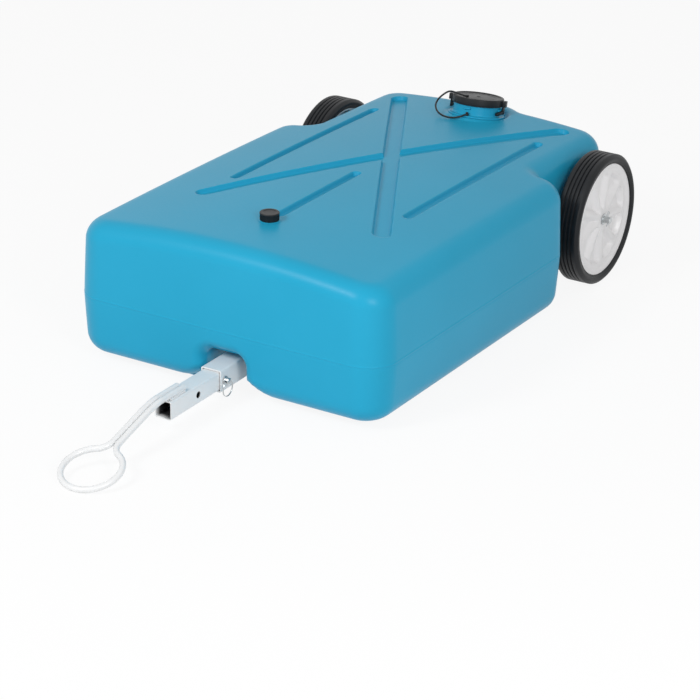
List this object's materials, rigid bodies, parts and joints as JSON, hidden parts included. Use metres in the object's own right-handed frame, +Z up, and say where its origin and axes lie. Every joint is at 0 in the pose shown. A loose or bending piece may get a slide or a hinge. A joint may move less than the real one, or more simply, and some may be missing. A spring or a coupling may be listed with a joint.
{
  "type": "portable waste water tank",
  "caption": "Low hollow plastic tank on wheels, with a bayonet filler, a screw vent and a steel tow loop pinned into a receiver under its nose.",
  "frame": {"origin": "on the ground, below the middle of the whole object's outline", "axes": "+X along the wheels' axle, +Y from the tow loop towards the wheels and the filler, +Z up"},
  "size_m": [0.654, 1.4572, 0.3096],
  "materials": {
    "tank_blue": "moulded, soft sheen",
    "tyre_rubber": "matt",
    "hub_white": "satin moulded",
    "white_powder_coat": "satin powder coat",
    "black_plastic": "satin moulded",
    "seal_rubber": "matt",
    "natural_nylon": "natural",
    "zinc_plate": "bright zinc plate"
  },
  "bodies": {
    "tank": {"tank_shell": "tank_blue", "axle": "zinc_plate", "axle_bush_left": "natural_nylon", "axle_bush_right": "natural_nylon", "inner_washer_left": "zinc_plate", "inner_washer_right": "zinc_plate", "axle_spacer_left": "zinc_plate", "axle_spacer_right": "zinc_plate", "outer_washer_left": "zinc_plate", "outer_washer_right": "zinc_plate", "cotter_pin_left": "zinc_plate", "cotter_pin_right": "zinc_plate", "receiver_tube": "white_powder_coat", "draw_tube": "white_powder_coat", "tow_loop": "white_powder_coat", "mounting_plate": "white_powder_coat", "plate_bolt_1": "zinc_plate", "plate_bolt_2": "zinc_plate", "plate_bolt_3": "zinc_plate", "plate_bolt_4": "zinc_plate", "plate_washer_1": "zinc_plate", "plate_washer_2": "zinc_plate", "plate_washer_3": "zinc_plate", "plate_washer_4": "zinc_plate", "threaded_insert_1": "zinc_plate", "threaded_insert_2": "zinc_plate", "threaded_insert_3": "zinc_plate", "threaded_insert_4": "zinc_plate", "fill_neck": "tank_blue", "strap_anchor": "black_plastic", "cap_strap": "black_plastic", "vent_neck": "tank_blue"},
    "wheel_left": {"tyre_left": "tyre_rubber", "wheel_hub_left": "hub_white"},
    "wheel_right": {"tyre_right": "tyre_rubber", "wheel_hub_right": "hub_white"},
    "hitch_pin": {"hitch_pin": "zinc_plate"},
    "pin_ring": {"pin_ring": "zinc_plate"},
    "fill_gasket": {"fill_cap_gasket": "seal_rubber"},
    "fill_cap": {"fill_cap": "black_plastic"},
    "vent_washer": {"vent_washer": "seal_rubber"},
    "vent_cap": {"vent_cap": "black_plastic"}
  },
  "joints": [
    {"name": "wheel_left_spin", "type": "hinge", "parent": "tank", "child": "wheel_left", "pos_m": [-0.292, 0.56391, 0.127], "axis": [1, 0, 0], "continuous": true},
    {"name": "wheel_right_spin", "type": "hinge", "parent": "tank", "child": "wheel_right", "pos_m": [0.292, 0.56391, 0.127], "axis": [1, 0, 0], "continuous": true},
    {"name": "pin_pull", "type": "slide", "parent": "tank", "child": "hitch_pin", "axis": [1, 0, 0], "range_m": [0, 0.055]},
    {"name": "ring_swing", "type": "hinge", "parent": "hitch_pin", "child": "pin_ring", "pos_m": [0.0268, -0.31109, 0.047], "axis": [0, 1, 0], "range_deg": [-100, 5]},
    {"name": "cap_lift", "type": "slide", "parent": "tank", "child": "fill_gasket", "axis": [0, 0.1822, 0.9833], "range_m": [0, 0.0501], "deforming": ["cap_strap"]},
    {"name": "cap_turn", "type": "hinge", "parent": "fill_gasket", "child": "fill_cap", "pos_m": [0, 0.61671, 0.2635], "axis": [0, 0.1822, 0.9833], "range_deg": [0, 360]},
    {"name": "vent_lift", "type": "slide", "parent": "tank", "child": "vent_washer", "axis": [0, 0, 1], "range_m": [0, 0.0177]},
    {"name": "vent_turn", "type": "hinge", "parent": "vent_washer", "child": "vent_cap", "pos_m": [0, -0.13859, 0.2822], "axis": [0, 0, 1], "range_deg": [0, 2880]}
  ],
  "couplings": [
    {"joint": "cap_lift", "follows": "cap_turn", "m_per_rad": 0.0079577},
    {"joint": "vent_lift", "follows": "vent_turn", "m_per_rad": 0.00035014}
  ]
}
